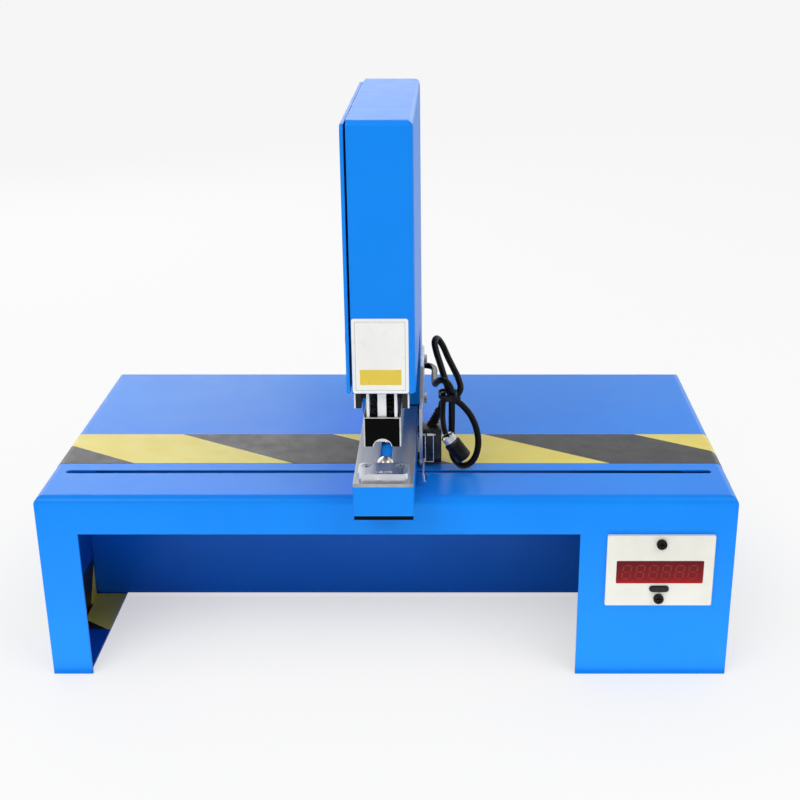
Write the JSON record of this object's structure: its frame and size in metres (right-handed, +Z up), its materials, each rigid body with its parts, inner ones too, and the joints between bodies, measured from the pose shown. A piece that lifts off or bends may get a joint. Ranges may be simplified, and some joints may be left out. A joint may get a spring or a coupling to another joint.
{
  "type": "pneumatic stapling machine",
  "caption": "Benchtop pneumatic stapler: sheet-metal bench with a counter, lower arm with anvil, tall tower with an air-driven stapling head, trigger switch and tied sensor cable.",
  "frame": {"origin": "middle of the object's box, on the surface the bench stands on", "axes": "+X to the operator's right along the bench, +Y away from the operator, +Z up"},
  "size_m": [0.5204, 0.3114, 0.4305],
  "materials": {
    "blue_paint": "semi-gloss powder coat",
    "dark_blue_paint": "semi-gloss powder coat",
    "hazard_vinyl": "vinyl tape with yellow and black stripes",
    "cream_plastic": "satin",
    "red_window": "gloss tinted window",
    "red_digits": "dim digits",
    "black_plastic": "satin",
    "black_oxide": "black oxide",
    "steel": "ground",
    "bright_steel": "polished",
    "zinc": "zinc plated",
    "aluminium": "anodised",
    "brass": "satin",
    "rubber": "matte",
    "cable_jacket": "satin jacket",
    "plug_black": "satin plug with a bright collar",
    "white_plate": "satin film",
    "tube_blue": "gloss tube",
    "red_plastic": "gloss"
  },
  "bodies": {
    "frame": {"bench_shell": "blue_paint", "mid_panel": "dark_blue_paint", "rear_cover": "blue_paint", "hazard_tape": "hazard_vinyl", "counter_bezel": "cream_plastic", "counter_window": "red_window", "counter_digits": "red_digits", "counter_body": "black_plastic", "counter_screws": "black_oxide", "lower_arm": "blue_paint", "arm_pad": "rubber", "anvil_plate": "steel", "anvil": "steel", "anvil_screws": "black_oxide", "plate_screws": "zinc", "frame_plate_left": "black_oxide", "frame_plate_right": "black_oxide", "frame_spacers": "steel", "frame_screws": "black_oxide", "base_bolts": "zinc", "cylinder_bridge": "aluminium", "tower_shell": "blue_paint", "tower_side_plate": "blue_paint", "side_standoffs": "zinc", "cover_screws": "zinc", "label_plate": "white_plate", "cylinder_barrel": "aluminium", "cylinder_caps": "black_plastic", "push_fittings": "black_plastic", "air_tubes": "tube_blue", "switch_bracket": "zinc", "micro_switch": "black_plastic", "switch_screws": "black_oxide", "sensor_cable": "cable_jacket", "cable_tie": "black_plastic", "plug_lead": "cable_jacket", "cable_plug": "plug_black", "cable_grommet": "rubber", "valve_body": "aluminium", "valve_coil": "black_plastic", "valve_bracket": "steel", "silencers": "brass", "air_inlet": "brass", "power_supply": "zinc", "power_inlet": "black_plastic", "switch_frame": "black_plastic"},
    "head": {"nose_block": "black_oxide", "head_bracket": "bright_steel", "magazine": "steel", "staple_strip": "zinc", "nose_springs": "black_oxide", "pusher_spring": "bright_steel"},
    "ram": {"ram_block": "steel", "driver": "bright_steel", "piston_rod": "bright_steel"},
    "pusher": {"staple_pusher": "black_plastic"},
    "button": {"reset_button": "black_plastic"},
    "lever": {"switch_lever": "zinc"},
    "plunger": {"switch_plunger": "red_plastic"},
    "rocker": {"power_rocker": "red_plastic"}
  },
  "joints": [
    {"name": "head_slide", "type": "slide", "parent": "frame", "child": "head", "axis": [0, 0, -1], "range_m": [0, 0.0195]},
    {"name": "drive_slide", "type": "slide", "parent": "head", "child": "ram", "axis": [0, 0, -1], "range_m": [0, 0.009], "stiffness_N_per_m": 900, "springref_m": -0.012, "deforming": ["nose_springs"]},
    {"name": "pusher_slide", "type": "slide", "parent": "head", "child": "pusher", "axis": [0, 1, 0], "range_m": [0, 0.026], "stiffness_N_per_m": 60, "springref_m": -0.03, "deforming": ["pusher_spring"]},
    {"name": "reset_press", "type": "slide", "parent": "frame", "child": "button", "axis": [0, 1, 0], "range_m": [0, 0.0012], "stiffness_N_per_m": 900, "springref_m": -0.0005},
    {"name": "lever_pivot", "type": "hinge", "parent": "frame", "child": "lever", "pos_m": [0.03115, -0.06115, 0.1775], "axis": [1, 0, 0], "range_deg": [0, 4.5], "stiffness_Nm_per_rad": 0.08, "springref_deg": -2.86},
    {"name": "plunger_slide", "type": "slide", "parent": "frame", "child": "plunger", "axis": [0, 1, 0], "range_m": [0, 0.0009]},
    {"name": "rocker_tilt", "type": "hinge", "parent": "frame", "child": "rocker", "pos_m": [0.1015, 0.1327, 0.0925], "axis": [1, 0, 0], "range_deg": [0, 18]}
  ],
  "couplings": [
    {"joint": "plunger_slide", "follows": "lever_pivot", "m_per_rad": 0.011}
  ]
}
